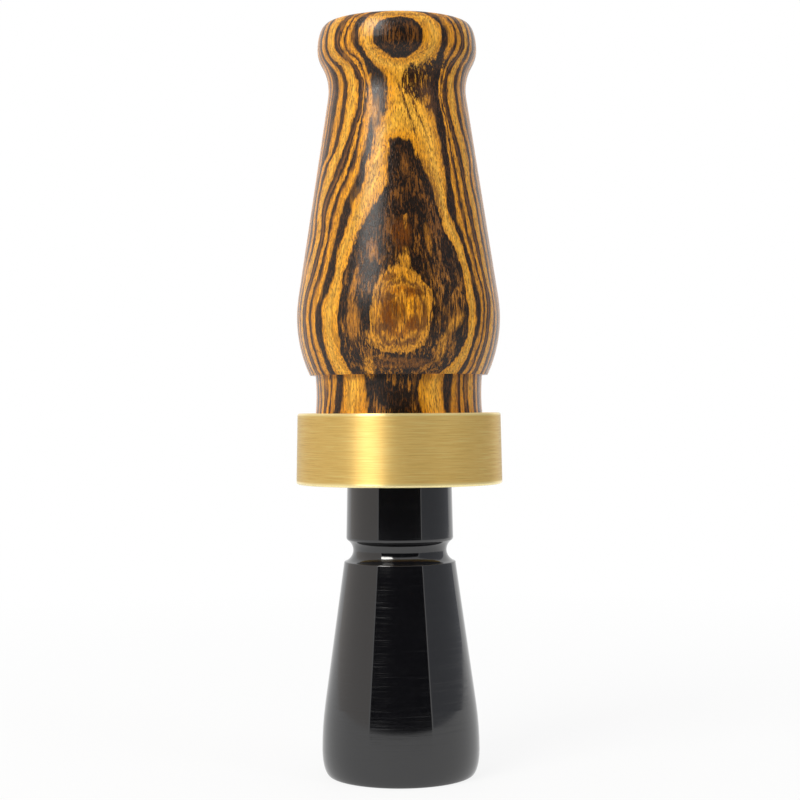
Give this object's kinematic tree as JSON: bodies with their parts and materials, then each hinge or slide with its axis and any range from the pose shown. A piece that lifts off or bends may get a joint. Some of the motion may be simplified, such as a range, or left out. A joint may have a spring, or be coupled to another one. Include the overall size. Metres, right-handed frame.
{
  "type": "bird call",
  "caption": "Turned wooden duck call: a lipped barrel with a brass band, pushed onto a flared acrylic insert that holds film reeds under a cork wedge.",
  "frame": {"origin": "centre of the bell's end face, on which the call stands", "axes": "+Z along the turning axis, from the bell to the mouthpiece; -Y is the side that the reeds face"},
  "size_m": [0.035, 0.035, 0.1271],
  "materials": {
    "figured_hardwood": "oiled satin",
    "brass": "turned and brushed",
    "black_acrylic": "polished",
    "o_ring_rubber": "matt",
    "polyester_film": "frosted film",
    "cork": "natural cork"
  },
  "bodies": {
    "insert": {"insert": "black_acrylic"},
    "o_rings": {"rear_o_ring": "o_ring_rubber", "front_o_ring": "o_ring_rubber"},
    "barrel": {"barrel": "figured_hardwood", "brass_band": "brass"},
    "long_reed": {"long_reed": "polyester_film"},
    "short_reed": {"short_reed": "polyester_film"},
    "wedge": {"cork_wedge": "cork"}
  },
  "joints": [
    {"name": "barrel_turn", "type": "hinge", "parent": "insert", "child": "o_rings", "pos_m": [0, 0, 0.0493], "axis": [0, 0, 1], "continuous": true},
    {"name": "barrel_pull", "type": "slide", "parent": "o_rings", "child": "barrel", "axis": [0, 0, 1], "range_m": [0, 0.055]},
    {"name": "long_reed_flex", "type": "hinge", "parent": "insert", "child": "long_reed", "pos_m": [0, -0.00115, 0.0832], "axis": [-1, 0, 0], "range_deg": [0, 5.6], "stiffness_Nm_per_rad": 0.0029, "deforming": ["long_reed"]},
    {"name": "short_reed_flex", "type": "hinge", "parent": "insert", "child": "short_reed", "pos_m": [0, -0.00144, 0.0832], "axis": [-1, 0, 0], "range_deg": [0, 5.6], "stiffness_Nm_per_rad": 0.0029, "deforming": ["short_reed"]},
    {"name": "wedge_pull", "type": "slide", "parent": "insert", "child": "wedge", "axis": [0, -0.0349, 0.9994], "range_m": [0, 0.012]}
  ],
  "couplings": [
    {"joint": "short_reed_flex", "follows": "long_reed_flex", "ratio": 1}
  ]
}
